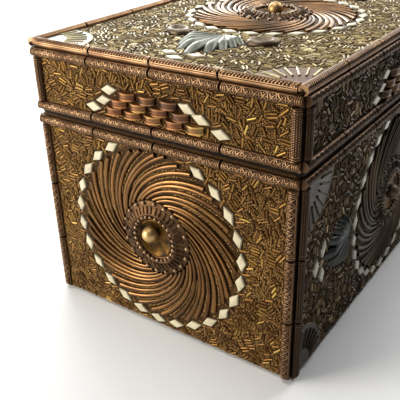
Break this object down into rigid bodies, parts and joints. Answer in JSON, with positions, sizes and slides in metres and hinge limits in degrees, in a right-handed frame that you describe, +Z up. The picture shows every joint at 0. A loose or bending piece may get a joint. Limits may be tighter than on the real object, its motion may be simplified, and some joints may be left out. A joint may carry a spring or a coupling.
{
  "type": "ornamented metal box",
  "caption": "Rectangular metal-clad casket with a lift-off lid, swirl rosettes framed by pale lozenge tiles, embossed round edge mouldings and a ground of chopped wire.",
  "frame": {"origin": "centre of the underside of the casket", "axes": "+Z up, -Y out of the short side with the open lozenge ring (front), +X out of the long side on its right"},
  "size_m": [0.154, 0.224, 0.143],
  "materials": {
    "ground": "dark patinated brass, granulated, with chopped wire bits",
    "moulding": "embossed brass, rubbed on the high parts and dark in the recesses",
    "rosette": "brass wires, beads and a polished ball on a dark ground",
    "copper": "dull reddish copper",
    "pewter": "grey tarnished white metal",
    "tile": "cream shell-like tiles with a soft shine"
  },
  "bodies": {
    "root": {"body": "ground", "lid": "ground", "body_upper_moulding_back": "moulding", "body_upper_moulding_front": "moulding", "body_upper_moulding_left": "moulding", "body_upper_moulding_right": "moulding", "body_upright_back_a": "moulding", "body_upright_back_b": "moulding", "body_upright_front_a": "moulding", "body_upright_front_b": "moulding", "body_upright_left_a": "moulding", "body_upright_left_b": "moulding", "body_upright_right_a": "moulding", "body_upright_right_b": "moulding", "corner_fan_right_1": "copper", "corner_fan_right_2": "copper", "corner_fan_right_3": "copper", "corner_fan_right_4": "copper", "corner_fan_top_1": "copper", "corner_fan_top_2": "copper", "corner_fan_top_3": "copper", "corner_fan_top_4": "copper", "lid_lower_moulding_back": "moulding", "lid_lower_moulding_front": "moulding", "lid_lower_moulding_left": "moulding", "lid_lower_moulding_right": "moulding", "lid_upper_moulding_back": "moulding", "lid_upper_moulding_front": "moulding", "lid_upper_moulding_left": "moulding", "lid_upper_moulding_right": "moulding", "lid_upright_back_a": "moulding", "lid_upright_back_b": "moulding", "lid_upright_front_a": "moulding", "lid_upright_front_b": "moulding", "lid_upright_left_a": "moulding", "lid_upright_left_b": "moulding", "lid_upright_right_a": "moulding", "lid_upright_right_b": "moulding", "oval_boss_top_1": "pewter", "oval_boss_top_2": "pewter", "oval_boss_top_3": "pewter", "oval_boss_top_4": "pewter", "palmette_right_back": "pewter", "palmette_right_front": "pewter", "palmette_top_back": "pewter", "palmette_top_front": "pewter", "rim_moulding_back": "moulding", "rim_moulding_front": "moulding", "rim_moulding_left": "moulding", "rim_moulding_right": "moulding", "scale_rows_front": "copper", "scale_rows_right": "copper", "swirl_rosette_back": "rosette", "swirl_rosette_front": "rosette", "swirl_rosette_left": "rosette", "swirl_rosette_right": "rosette", "swirl_rosette_top": "rosette"}
  },
  "joints": []
}
